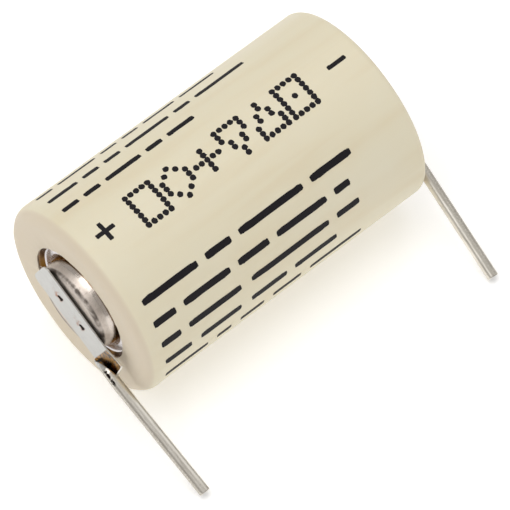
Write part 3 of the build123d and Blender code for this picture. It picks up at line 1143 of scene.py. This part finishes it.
# ---------------- ink marks
@dataclass
class InkMarks:
    """Plain stamped marks: a dotted row of simple shapes, ruled bars and the polarity signs."""

    sleeve: ShrinkSleeve
    thickness: float = 0.010
    dot: float = 0.215
    dot_pitch: float = 0.405
    column_pitch: float = 0.47
    glyph_pitch: float = 2.49
    row_start: float = -7.2
    row_angle: float = 107.0
    bar_start: float = -10.6
    sign_angle: float = 96.0
    sign_places: tuple[float, float, float] = (-9.7, -9.7, 9.9)
    stroke: tuple[float, float] = (0.75, 0.16)
    uneven: float = 0.012
    sunk: float = 0.02
    off_axis: float = 0.01

    # plain figures on a five by seven raster: frame, lozenge, cross, two wedges, dotted frame
    FIGURES = (
        ("#####", "#...#", "#...#", "#...#", "#...#", "#...#", "#####"),
        ("..#..", ".#.#.", "#...#", "#...#", "#...#", ".#.#.", "..#.."),
        (".....", "..#..", "..#..", "#####", "..#..", "..#..", "....."),
        ("#####", "#...#", "#...#", ".#.#.", ".#.#.", "..#..", "..#.."),
        ("..#..", "..#..", ".#.#.", ".#.#.", "#...#", "#...#", "#####"),
        ("#####", "#...#", "#...#", "#.#.#", "#...#", "#...#", "#####"),
    )
    # angle in degrees, bars' height, then (length, gap) of each bar, in millimetres
    LINES = (
        (137.5, 0.52, ((4.6, 0.7), (2.1, 0.7), (5.4, 0.7), (3.4, 0.0))),
        (151.5, 0.52, ((1.8, 0.7), (3.9, 0.7), (2.6, 0.7), (4.2, 0.7), (1.3, 0.0))),
        (165.5, 0.52, ((1.6, 0.7), (4.4, 0.9), (6.6, 0.7), (1.9, 0.0))),
        (179.5, 0.52, ((2.2, 0.8), (3.4, 0.9), (3.0, 0.7), (3.6, 0.0))),
        (193.5, 0.52, ((3.6, 0.8), (1.2, 0.8), (2.0, 0.8), (2.4, 0.8), (4.4, 0.0))),
        (70.0, 0.416, ((1.3, 0.5), (1.3, 0.5), (2.9, 0.5), (1.3, 0.5), (2.2, 0.0))),
        (56.0, 0.416, ((2.4, 0.5), (1.3, 0.5), (1.3, 0.5), (3.6, 0.5), (1.3, 0.5), (4.1, 0.0))),
        (42.0, 0.416, ((1.3, 0.5), (3.1, 0.5), (1.3, 0.5), (1.3, 0.5), (2.6, 0.5), (2.9, 0.0))),
    )

    def patches(
        self, centres: Array, halves: Array, power: float, spokes: int, seed: int
    ) -> tuple[Array, Array]:
        """Thin closed patches on the barrel, each a superellipse.

        A rim point at angle a is (|cos a|^(2/p), |sin a|^(2/p)) with the signs of the cosine
        and sine, times the half sizes, with a slight seeded unevenness.

        Args:
            centres: (x, distance round the barrel) of each patch, in millimetres.
            halves: its half sizes.
            power: p, 2 for an ellipse and more for a squarer patch.
            spokes: points round its rim.
            seed: seed of the unevenness.

        Returns:
            The points and the quads of all the patches.
        """
        rng = np.random.default_rng(seed)
        turn = circle(spokes) + self.off_axis
        shape = np.stack([np.cos(turn), np.sin(turn)], axis=-1)
        shape = np.sign(shape) * np.abs(shape) ** (2.0 / power)
        middle = centres[:, None]
        rim = middle + halves[:, None] * shape
        rim += rng.normal(0.0, self.uneven, rim.shape)
        rings = np.stack([middle + (rim - middle) * share for share in (1.0, 0.5, 0.0)], axis=1)
        along, turned = rings[..., 0], rings[..., 1] / self.sleeve.radius
        top = self.sleeve.on_skin(along, turned, self.thickness)
        low = self.sleeve.on_skin(along, turned, -self.sunk)
        stack = np.concatenate([top[:, ::-1], low], axis=1)
        count, layers = stack.shape[:2]
        one = grid_quads(layers, spokes, False, True)
        faces = (one[None] + np.arange(count)[:, None, None] * layers * spokes).reshape(-1, 4)
        return stack.reshape(-1, 3), faces

    def dotted_row(self) -> tuple[Array, Array]:
        """Centres and sizes of the dots, read line by line from each figure.

        Returns:
            The dots' centres and half sizes, both in millimetres.
        """
        cells = np.array([[list(line) for line in figure] for figure in self.FIGURES]) == "#"
        figure, line, column = np.nonzero(cells)
        along = self.row_start + figure * self.glyph_pitch + column * self.column_pitch
        lowest = math.radians(self.row_angle) * self.sleeve.radius
        around = lowest - (len(self.FIGURES[0]) - 1 - line) * self.dot_pitch
        return np.stack([along, around], axis=-1), np.full((len(along), 2), self.dot)

    def bars(self) -> tuple[Array, Array]:
        """Centres and half sizes of the bars, each line's laid end to end with their gaps.

        Returns:
            The bars' centres and half sizes, both in millimetres.
        """
        centres, halves = [], []
        for angle, height, runs in self.LINES:
            spans = np.array(runs)
            starts = self.bar_start + np.append(0.0, np.cumsum(spans.sum(axis=1))[:-1])
            half = spans[:, 0] / 2
            around = np.full_like(half, math.radians(angle) * self.sleeve.radius)
            centres.append(np.stack([starts + half, around], axis=-1))
            halves.append(np.stack([half, np.full_like(half, height / 2)], axis=-1))
        return np.concatenate(centres), np.concatenate(halves)

    def signs(self) -> tuple[Array, Array]:
        """Centres and half sizes of the strokes: two cross for the plus, one is the minus.

        Returns:
            The strokes' centres and half sizes, both in millimetres.
        """
        level = math.radians(self.sign_angle) * self.sleeve.radius
        centres = np.array([(place, level) for place in self.sign_places])
        return centres, np.array([self.stroke, self.stroke[::-1], self.stroke])

    def build(self) -> list[Object]:
        """Builds the dotted row, the ruled bars and the polarity signs.

        Returns:
            The objects.
        """
        stamps = (
            ("ink_dotted_row", self.dotted_row(), 2.0, 14, 21),
            ("ink_ruled_bars", self.bars(), 7.0, 40, 22),
            ("ink_polarity_signs", self.signs(), 9.0, 40, 23),
        )
        return [
            add_piece(name, Slot.INK, *self.patches(*shapes, power, spokes, seed), crease=50.0)
            for name, shapes, power, spokes, seed in stamps
        ]


# ---------------- tabs with rolled pins
@dataclass(frozen=True)
class Form:
    """A bent sheet's middle surface on a grid, with a row for each place along the stamping.

    A row runs from the far wing's cut edge to the near one's. It holds the distance along the
    stamping, the place sideways and upwards in the cross-section, the distance in from the
    cut edge, and the distance over the sheet from its middle, positive on the far wing.
    """

    along: Array
    sideways: Array
    raised: Array
    depth: Array
    reach: Array


@dataclass
class RolledTab:
    """One stamping: a flat tab, a funnel where its wings curl in, and the pin rolled from it.

    Lengths are in millimetres and angles in degrees. A pair is where a change begins and where
    it is complete, along the stamping.
    """

    node: str
    side: int
    seat: float  # height that the tab lies at
    lean: float  # how far the pin leans in over the cell
    slide: float  # how far the stamping is moved along itself
    seed: int
    drop: float = 27.69  # how far the pin points below the level
    sheet: float = 0.12
    back: float = -3.3
    tip: float = 14.68
    corner: float = 0.5  # rounding of the tab's corners
    rolling: tuple[float, float] = (3.7, 5.0)
    leaning: tuple[float, float] = (5.5, 6.0)
    neater: tuple[float, float] = (5.8, 6.2)  # where the cut edge becomes less ragged
    edge: float = 0.03
    thinned: float = 0.70  # share of the thickness left at the cut edges
    ragged: float = 0.035
    ragged_step: float = 0.09
    bend_ease: float = 0.05
    crowding: float = 1.25  # above 1, the columns crowd towards the cut edges
    dimple: float = 0.095
    dimple_lip: float = 0.022
    weld_stretch: float = 1.2
    joint: float = 0.01  # how far a nugget reaches into what it joins

    # distance along the stamping, then a wing's flat part, its bending radius, its whole width
    # and the angle at which it leaves the middle
    NEAR_WING = (
        (-3.30, 1.60, 0.50, 1.550, 0.0),
        (3.45, 1.60, 0.50, 1.550, 0.0),
        (4.20, 1.60, 0.50, 1.545, -3.0),
        (4.90, 1.45, 0.45, 1.520, -6.0),
        (5.00, 1.10, 0.40, 1.360, -5.0),
        (5.08, 0.62, 0.36, 0.920, -3.0),
        (5.16, 0.20, 0.34, 0.540, -1.0),
        (5.28, 0.00, 0.338, 0.280, 0.0),
        (14.9, 0.00, 0.338, 0.280, 0.0),
    )
    FAR_WING = (
        (-3.30, 1.60, 0.100, 1.550, 0.0),
        (3.45, 1.58, 0.100, 1.550, 0.0),
        (3.58, 1.22, 0.130, 1.600, 0.0),
        (3.78, 0.88, 0.190, 1.670, 0.0),
        (4.08, 0.48, 0.260, 1.660, 0.0),
        (4.42, 0.12, 0.315, 1.610, 0.0),
        (4.75, 0.00, 0.335, 1.650, 0.0),
        (5.26, 0.00, 0.338, 1.830, 0.0),
        (14.9, 0.00, 0.338, 1.830, 0.0),
    )
    # where stations get another spacing, and the spacing from there on
    SPACINGS = ((-3.3, 0.05), (3.3, 0.025), (6.6, 0.07))
    # each weld's place along the stamping and across it
    WELDS = ((-1.22, 0.2), (1.13, 0.2))
    # bells round a weld: the distance from its middle at which each is highest, and its width
    DIMPLE, LIP, RUST, CHAR = (0.0, 0.19), (0.42, 0.05), (0.29, 0.070), (0.22, 0.085)
    # hills over the sheet and along the stamping
    STREAK = (1.22, 1.29, 1.41, 1.48), (4.45, 4.60, 5.55, 5.75)
    SHADED_SIDE = (0.40, 0.60, 1.28, 1.45), (3.45, 3.9)
    # hill along the stamping, and rise in from the cut edge
    HOLLOW = (3.42, 3.48, 6.0, 8.0), (0.01, 0.05)
    COLUMNS = 56
    WIDEST = 1.5  # widest flat part that a wing still bends after
    TRACK = 0.01  # distance between the points at which a wing's table is eased
    EASING = 13  # points that the easing spans

    def stations(self) -> Array:
        """Distances along the stamping, finest in the funnel.

        Returns:
            The distances, in order.
        """
        starts, spacings = zip(*self.SPACINGS)
        ends = (*starts[1:], self.tip)
        return np.append(np.concatenate(list(map(np.arange, starts, ends, spacings))), self.tip)

    def wing(self, table: Sequence[Sequence[float]], seed: int, jag: Array) -> tuple[Array, ...]:
        """One wing's cross-sections.

        A wing runs straight out from the middle for its flat width and then bends with one
        curvature. Its angle is the running sum of the curvature over the width, and its place
        the running sum of the angle's cosine, sideways, and of its sine, upwards.

        Args:
            table: its stations, eased into each other.
            seed: seed of its ragged cut edge.
            jag: how ragged the edge is at each distance.

        Returns:
            The distances from the middle over the sheet, the places sideways and upwards, all
            with a row for each distance along the stamping.
        """
        along = self.stations()
        stations = np.array(table)
        fine = np.arange(self.back - 0.5, self.tip + 0.5, self.TRACK)
        kernel = np.hanning(self.EASING)
        kernel /= kernel.sum()
        eased = []
        for column in range(1, 5):
            line = np.interp(fine, stations[:, 0], stations[:, column])
            padded = np.pad(line, len(kernel) // 2, mode="edge")
            eased.append(np.interp(along, fine, np.convolve(padded, kernel, mode="valid")))
        flat, radius, width, tilt = (values[:, None] for values in eased)
        inset = self.corner - np.clip(along - self.back, 0.0, self.corner)
        cut = self.corner - np.sqrt(np.maximum(self.corner**2 - inset**2, 0.0))
        width = width + (rough_line(along, seed, self.ragged_step) * jag - cut)[:, None]
        share = 1.0 - (1.0 - np.linspace(0.0, 1.0, self.COLUMNS)) ** self.crowding
        reach = width * share
        steps = np.diff(reach, axis=1, prepend=0.0)
        middles = reach - steps / 2
        ease = self.bend_ease
        bend = smooth(middles, flat - ease, flat + ease) * (flat < self.WIDEST) / radius
        angle = np.radians(tilt) + np.cumsum(bend * steps, axis=1) - bend * steps / 2
        return reach, np.cumsum(np.cos(angle) * steps, 1), np.cumsum(np.sin(angle) * steps, 1)

    def axes(self) -> tuple[Array, Array, Array]:
        """Directions along the pin, across the sheet towards the near wing, and outwards.

        Returns:
            The three unit vectors.
        """
        angle = math.radians(self.drop)
        along = np.array([0.0, -math.cos(angle), -math.sin(angle)])
        outwards = np.array([float(self.side), 0.0, 0.0])
        return along, np.cross(outwards, along), outwards

    def line(self, places: Array) -> tuple[Array, Array]:
        """The line that carries the cross-sections, and the direction off the sheet along it.

        It is flat and then leans in by a constant angle, with its turn eased over a short run.
        Each step forward along the pin sinks it by the step times the lean's tangent.

        Args:
            places: distances along the stamping.

        Returns:
            The line's points and the unit vectors off the sheet.
        """
        along, _, outwards = self.axes()
        lean = math.radians(self.lean) * smooth(places, *self.leaning)
        steps = np.diff(places, prepend=places[0])
        start = outwards * (self.seat + self.sheet / 2) + along * (self.slide + self.back)
        sink = np.cumsum(steps * np.tan(lean))[:, None] * outwards
        up = outwards * np.cos(lean)[:, None] + along * np.sin(lean)[:, None]
        return start + np.cumsum(steps)[:, None] * along - sink, up

    def form(self) -> Form:
        """The middle surface before it is welded: both wings, joined at the middle.

        Returns:
            The surface.
        """
        places = self.stations()
        jag = self.ragged * smooth(places, *self.rolling)
        jag *= 1.0 - 0.8 * smooth(places, *self.neater)
        near, near_side, near_up = self.wing(self.NEAR_WING, self.seed, jag)
        far, far_side, far_up = self.wing(self.FAR_WING, self.seed + 1, jag)

        def joined(left: Array, right: Array) -> Array:
            """The far wing's columns from its edge in, then the near wing's on out."""
            return np.concatenate([left[:, :0:-1], right], axis=1)

        sideways = joined(-far_side, near_side)
        along = np.broadcast_to(places[:, None], sideways.shape)
        depth = joined(far[:, -1:] - far, near[:, -1:] - near)
        return Form(along, sideways, joined(far_up, near_up), depth, joined(far, -near))

    def welded(self, form: Form) -> tuple[Array, Array, Array]:
        """The traces of the spot welds.

        With d the distance from a weld's middle, waved a little round it, the sheet sinks by a
        bell of d inside a low lip. Rust lies in a ring, and char in a ring's pinward half.

        Args:
            form: the sheet's middle surface.

        Returns:
            How far each point is raised, how rusty it is and how charred it is.
        """
        raised, rust, char = (np.zeros_like(form.sideways) for _ in range(3))
        for place, offset in self.WELDS:
            away = form.along - place
            apart = np.hypot(away / self.weld_stretch, form.sideways - offset)
            apart = apart * (1.0 + 0.25 * np.sin(5.0 * away / 0.4 + offset))
            raised -= self.dimple * bell(apart, *self.DIMPLE)
            raised += self.dimple_lip * bell(apart, *self.LIP)
            rust += bell(apart, *self.RUST)
            char += bell(apart, *self.CHAR) * smooth(away, -0.12, 0.06)
        return raised, np.clip(rust, 0.0, 1.0), np.clip(char, 0.0, 1.0)

    def marks(self, form: Form, rust: Array, char: Array) -> dict[str, Array]:
        """What the finish reads at each point of the upper side, then of the lower side.

        Rolled is how far the sheet has left its flat state. The painted seam shadow, a crinkled
        streak, the painted shade down one side of the pin, and the hollow that takes a painted
        gold reflection and painted shade, are each a flat-topped hill times a hill or a
        smoothstep.

        Args:
            form: the sheet's middle surface.
            rust: how rusty each of its points is.
            char: how charred each of its points is.

        Returns:
            The marks by name.
        """
        along, reach = form.along, form.reach
        rolled = smooth(along, *self.rolling)
        # the streak is the painted shadow in the seam, on the lower side
        streak = band(reach, *self.STREAK[0]) * band(along, *self.STREAK[1])
        # painted shade down one side of the pin
        shaded_side = band(reach, *self.SHADED_SIDE[0]) * smooth(along, *self.SHADED_SIDE[1])
        # the hollow carries the funnel's painted gold reflection and painted shade
        hollow = band(along, *self.HOLLOW[0]) * smooth(form.depth, *self.HOLLOW[1])
        shares = {
            "rolled": (rolled, 1.0, 1.0),
            "seam_shadow": (streak, 0.0, 1.0),
            "shaded_side": (shaded_side, 1.0, 1.0),
            "weld": (rust, 1.0, 0.0),
            "char": (char, 1.0, 0.0),
            "hollow": (hollow, 1.0, 0.0),
        }
        return {
            name: np.concatenate([values * upper, values[:, ::-1] * lower], axis=1)
            for name, (values, upper, lower) in shares.items()
        }

    def build(self) -> Object:
        """Carries the cross-sections along the stamping and gives the sheet its thickness.

        Each face of the sheet stands half the thickness off the middle surface along its
        normal, and less at the cut edges and the ends, so that they look sheared.

        Returns:
            The object.
        """
        _, across, outwards = self.axes()
        form = self.form()
        line, up = self.line(form.along[:, 0])
        raised, rust, char = self.welded(form)
        raised += form.raised
        middle = line[:, None] + form.sideways[..., None] * across
        middle += raised[..., None] * up[:, None]
        normal = unit(np.cross(np.gradient(middle, axis=0), np.gradient(middle, axis=1)))
        normal *= np.sign((normal[10, self.COLUMNS] * outwards).sum())
        fullness = self.thinned + (1.0 - self.thinned) * smooth(form.depth, 0.0, self.edge)
        ends = (form.along == self.tip) | (form.along == self.back)
        half = self.sheet / 2 * fullness * np.where(ends, self.thinned, 1.0)
        upper, lower = (middle + sign * half[..., None] * normal for sign in (1, -1))
        section = np.concatenate([upper, lower[:, ::-1]], axis=1)
        rows, columns = section.shape[:2]
        strip = np.arange(columns // 2 - 1)
        cap = np.stack([strip, columns - 1 - strip, columns - 2 - strip, strip + 1], axis=-1)
        sides = grid_quads(rows, columns, False, True)
        faces = np.concatenate([sides, cap, cap + (rows - 1) * columns])
        marks = self.marks(form, rust, char)
        piece = add_piece(f"{self.node}_stamping", Slot.STRIP, section, faces, marks, crease=45.0)
        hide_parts(self.node)
        return piece

    def nuggets(self, node: str, low: float, radius: float) -> Object:
        """Builds the fused spots under the tab.

        Each is a waisted disc: at angle a and height h its rim stands radius * (1 + 0.25 * t^2)
        off the spot's middle, where t runs from -1 at the foot to 1 at the top.

        Args:
            node: the frame's node that they stand for.
            low: height of the surface that the tab is welded to.
            radius: the spots' radius at the waist.

        Returns:
            The object.
        """
        along, across, outwards = self.axes()
        share = np.pad(np.linspace(-1.0, 1.0, 6), 1, mode="edge")
        reach = radius * (1.0 + 0.25 * share**2)
        reach[[0, -1]] = 0.0
        height = (low + self.seat) / 2 + share * ((self.seat - low) / 2 + self.joint)
        angle = circle(28)
        ways = np.cos(angle)[:, None] * along + np.sin(angle)[:, None] * across
        disc = reach[:, None, None] * ways + height[:, None, None] * outwards
        spots = np.stack(
            [disc + (self.slide + place) * along + offset * across for place, offset in self.WELDS]
        )
        one = grid_quads(len(share), len(angle), False, True)
        faces = np.concatenate([one + start for start in (0, len(share) * len(angle))])
        piece = add_piece(f"{node}_spots", Slot.WELD, spots, faces)
        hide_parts(node)
        return piece


# ---------------- studio
def direction(azimuth: float, elevation: float) -> Vector:
    """The way out from the cell: (sin a cos e, -cos a cos e, sin e).

    Args:
        azimuth: a, in degrees round the cell, 0 being in front at -Y.
        elevation: e, in degrees above the floor.

    Returns:
        The unit vector.
    """
    turn, rise = math.radians(azimuth), math.radians(elevation)
    level = math.cos(rise)
    return Vector((math.sin(turn) * level, -math.cos(turn) * level, math.sin(rise)))


def facing(way: Vector) -> Matrix:
    """Turns a camera or a lamp that stands out along a direction so that it looks back."""
    return (-way).to_track_quat("-Z", "Y").to_matrix()


@dataclass
class Studio:
    """Pale floor, soft lights and the camera. The camera's lengths are in millimetres."""

    azimuth: float = -36.757
    elevation: float = 56.775
    roll: float = -4.536
    distance: float = 342.04
    aim: tuple[float, float, float] = (-0.1547, -3.7349, -2.0206)
    lens: float = 367.13
    sensor: float = 36.0
    clip: tuple[float, float] = (0.01, 10.0)
    floor_half: float = 1.5
    floor_points: int = 9
    floor_tones: tuple[float, float] = (0.90, 0.94)
    floor_glow: float = 0.30
    room: tuple[float, float, float, float] = (1.0, 0.98, 0.95, 1.0)
    room_glow: float = 0.46

    # name, azimuth and elevation in degrees, distance and side in metres, power in watts
    LIGHTS = (
        ("key", -90.0, 60.0, 0.60, 0.40, 0.9),
        ("top", 150.0, 80.0, 0.70, 0.60, 1.8),
        ("fill", 60.0, 40.0, 0.80, 0.50, 0.4),
    )

    def camera(self) -> None:
        """Adds the camera, looking at its aim point with its head tilted by the roll."""
        data = bpy.data.cameras.new("camera")
        data.lens, data.sensor_width = self.lens, self.sensor
        data.clip_start, data.clip_end = self.clip
        seen = show("camera", data)
        way = direction(self.azimuth, self.elevation)
        head = facing(way) @ Matrix.Rotation(math.radians(self.roll), 3, "Z")
        stand = (Vector(self.aim) + way * self.distance) * MM
        seen.matrix_world = Matrix.Translation(stand) @ head.to_4x4()
        bpy.context.scene.camera = seen

    def lights(self) -> None:
        """Adds the square soft lights, each facing the cell."""
        for name, azimuth, elevation, reach, size, power in self.LIGHTS:
            data = bpy.data.lights.new(name, "AREA")
            data.shape, data.size, data.energy = "SQUARE", size, power
            way = direction(azimuth, elevation)
            lamp = show(name, data)
            lamp.matrix_world = Matrix.Translation(way * reach) @ facing(way).to_4x4()

    def floor(self) -> None:
        """Adds a wide pale floor under the lowest point of the cell."""
        low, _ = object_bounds()
        count = self.floor_points
        spots = np.linspace(-self.floor_half, self.floor_half, count)
        across, along = np.meshgrid(spots, spots)
        points = np.stack([across, along, np.full_like(across, low[2])], axis=-1)
        faces = grid_quads(count, count, False, False)
        mesh = bpy.data.meshes.new("floor")
        mesh.from_pydata(points.reshape(-1, 3).tolist(), [], faces.tolist())
        board = Board("studio_floor")
        dark, pale = ((tone,) * 3 for tone in self.floor_tones)
        inputs = {
            "Base Color": board.blend(board.noise(0.05), dark, pale),
            "Roughness": 0.85,
            "Emission Color": (1.0, 1.0, 1.0, 1.0),
            "Emission Strength": self.floor_glow,
        }
        mesh.materials.append(board.principled(inputs))
        ground = show("floor", mesh)
        ground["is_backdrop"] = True

    def world(self) -> None:
        """Gives the room an even pale glow."""
        world = bpy.data.worlds.new("room")
        world.use_nodes = True
        colour, strength = world.node_tree.nodes["Background"].inputs[:2]
        colour.default_value, strength.default_value = self.room, self.room_glow
        bpy.context.scene.world = world

    def build(self) -> None:
        """Sets up the whole studio."""
        bpy.context.scene.view_settings.view_transform = "Standard"
        self.world()
        self.floor()
        self.lights()
        self.camera()


def main() -> None:
    """Dresses the frame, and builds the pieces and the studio."""
    logging.basicConfig(level=logging.INFO, format="%(name)s: %(message)s")
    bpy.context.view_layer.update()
    WARDROBE.dress_nodes()
    turned, sleeve = TurnedSet(), ShrinkSleeve()
    positive = RolledTab("positive_tab", -1, seat=12.65, lean=2.6, slide=0.0, seed=31)
    negative = RolledTab("negative_tab", 1, seat=12.55, lean=3.7, slide=0.16, seed=41)
    pieces = [*turned.build(), sleeve.build(), *InkMarks(sleeve).build(), positive.build()]
    pieces.append(positive.nuggets("positive_tab_welds", turned.boss, 0.3))
    pieces.append(negative.build())
    for piece in pieces:
        LOG.info("piece %s: %d faces", piece.name, len(piece.data.polygons))
    Studio().build()


if __name__ == "__main__":
    main()
